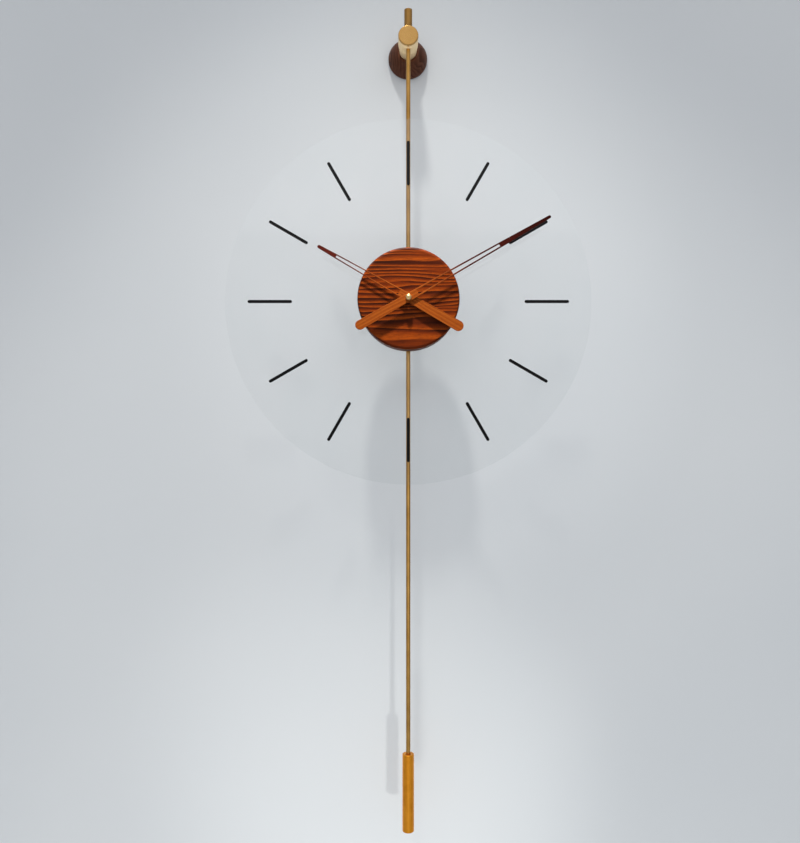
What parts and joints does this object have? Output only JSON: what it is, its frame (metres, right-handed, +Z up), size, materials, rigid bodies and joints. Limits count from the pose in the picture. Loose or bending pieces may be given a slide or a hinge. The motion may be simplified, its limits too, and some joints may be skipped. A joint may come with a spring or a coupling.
{
  "type": "pendulum wall clock",
  "caption": "Wall clock that swings as a pendulum: a clear round dial with a wooden hub and slotted hands on a brass rod, hung from a wall bracket, with a cylinder weight.",
  "frame": {"origin": "centre of the wall plate's back face, on the wall plane; the swing axis runs straight out of it", "axes": "+Z up, +Y into the wall, so the clock faces -Y and +X is to its viewer's right"},
  "size_m": [0.5, 0.1214, 1.1284],
  "materials": {
    "brushed_brass": "satin brushed brass lacquer",
    "polished_brass": "polished brass",
    "walnut_dark": "dark stained walnut, satin lacquer",
    "walnut_hub": "red-brown walnut with horizontal grain, satin lacquer",
    "walnut_hand": "thin stained walnut, satin lacquer",
    "clear_acrylic": "clear cast acrylic sheet, polished edge",
    "black_acrylic": "black acrylic, gloss",
    "zinc_steel": "zinc-plated steel",
    "bronze": "sintered bronze",
    "black_abs": "moulded black ABS, fine texture",
    "white_acetal": "moulded white acetal",
    "gear_brass": "turned brass",
    "copper_wire": "enamelled copper winding",
    "silicon_steel": "stamped silicon steel",
    "circuit_green": "green circuit board",
    "battery_wrap": "plain printed battery sleeve",
    "nitrile_rubber": "nitrile rubber"
  },
  "bodies": {
    "wall_bracket": {"wall_plate": "zinc_steel", "wall_rosette": "walnut_dark", "bracket_post": "brushed_brass", "post_stud": "zinc_steel", "pivot_bolt": "zinc_steel"},
    "pendulum": {"pivot_bush": "bronze", "swing_head": "brushed_brass", "front_knob": "polished_brass", "rod_collar": "brushed_brass", "upper_rod": "brushed_brass", "lower_rod": "brushed_brass", "pendulum_weight": "polished_brass", "back_ring": "zinc_steel", "upper_rod_clamp_screw": "zinc_steel", "lower_rod_clamp_screw": "zinc_steel", "hub_screw_1": "zinc_steel", "hub_screw_2": "zinc_steel", "hub_screw_3": "zinc_steel", "hub_screw_4": "zinc_steel", "dial_plate": "clear_acrylic", "hour_bar_01": "black_acrylic", "hour_bar_02": "black_acrylic", "hour_bar_03": "black_acrylic", "hour_bar_04": "black_acrylic", "hour_bar_05": "black_acrylic", "hour_bar_06": "black_acrylic", "hour_bar_07": "black_acrylic", "hour_bar_08": "black_acrylic", "hour_bar_09": "black_acrylic", "hour_bar_10": "black_acrylic", "hour_bar_11": "black_acrylic", "hour_bar_12": "black_acrylic", "hub_drum": "walnut_hub", "movement_front_case": "black_abs", "movement_back_case": "black_abs", "rubber_washer": "nitrile_rubber", "nut_washer": "gear_brass", "mounting_nut": "gear_brass", "battery": "battery_wrap", "battery_contact_plate": "zinc_steel", "battery_contact_spring": "zinc_steel", "circuit_board": "circuit_green", "drive_coil": "copper_wire", "coil_core": "silicon_steel", "stator_plate": "silicon_steel"},
    "minute_group": {"minute_arbor": "gear_brass", "minute_hand": "walnut_hand", "hand_cap_nut": "polished_brass"},
    "hour_group": {"hour_wheel": "white_acetal", "hour_hand": "walnut_hand"},
    "motion_group": {"motion_wheel": "white_acetal", "setting_knob": "black_abs"},
    "third_group": {"third_wheel": "white_acetal"},
    "second_group": {"second_wheel": "white_acetal"},
    "intermediate_group": {"intermediate_wheel": "white_acetal"},
    "rotor_group": {"motor_rotor": "white_acetal"}
  },
  "joints": [
    {"name": "pendulum_swing", "type": "hinge", "parent": "wall_bracket", "child": "pendulum", "pos_m": [0, -0.056, 0], "axis": [0, 1, 0], "range_deg": [-10, 10]},
    {"name": "minute_hand_turn", "type": "hinge", "parent": "pendulum", "child": "minute_group", "pos_m": [0, -0.1, -0.361], "axis": [0, 1, 0], "continuous": true},
    {"name": "hour_hand_turn", "type": "hinge", "parent": "pendulum", "child": "hour_group", "pos_m": [0, -0.1, -0.361], "axis": [0, 1, 0], "continuous": true},
    {"name": "motion_wheel_turn", "type": "hinge", "parent": "pendulum", "child": "motion_group", "pos_m": [-0.01039, -0.095, -0.355], "axis": [0, 1, 0], "continuous": true},
    {"name": "third_wheel_turn", "type": "hinge", "parent": "pendulum", "child": "third_group", "pos_m": [0.01086, -0.0903, -0.35705], "axis": [0, 1, 0], "continuous": true},
    {"name": "second_wheel_turn", "type": "hinge", "parent": "pendulum", "child": "second_group", "pos_m": [0.01554, -0.0885, -0.34894], "axis": [0, 1, 0], "continuous": true},
    {"name": "intermediate_wheel_turn", "type": "hinge", "parent": "pendulum", "child": "intermediate_group", "pos_m": [0.00972, -0.0868, -0.34558], "axis": [0, 1, 0], "continuous": true},
    {"name": "rotor_turn", "type": "hinge", "parent": "pendulum", "child": "rotor_group", "pos_m": [0.00314, -0.093, -0.34319], "axis": [0, 1, 0], "continuous": true}
  ],
  "couplings": [
    {"joint": "hour_hand_turn", "follows": "minute_hand_turn", "ratio": 0.083333},
    {"joint": "motion_wheel_turn", "follows": "minute_hand_turn", "ratio": -0.33333},
    {"joint": "third_wheel_turn", "follows": "minute_hand_turn", "ratio": -7.5},
    {"joint": "second_wheel_turn", "follows": "minute_hand_turn", "ratio": 60},
    {"joint": "intermediate_wheel_turn", "follows": "minute_hand_turn", "ratio": -300},
    {"joint": "rotor_turn", "follows": "minute_hand_turn", "ratio": 1800}
  ]
}
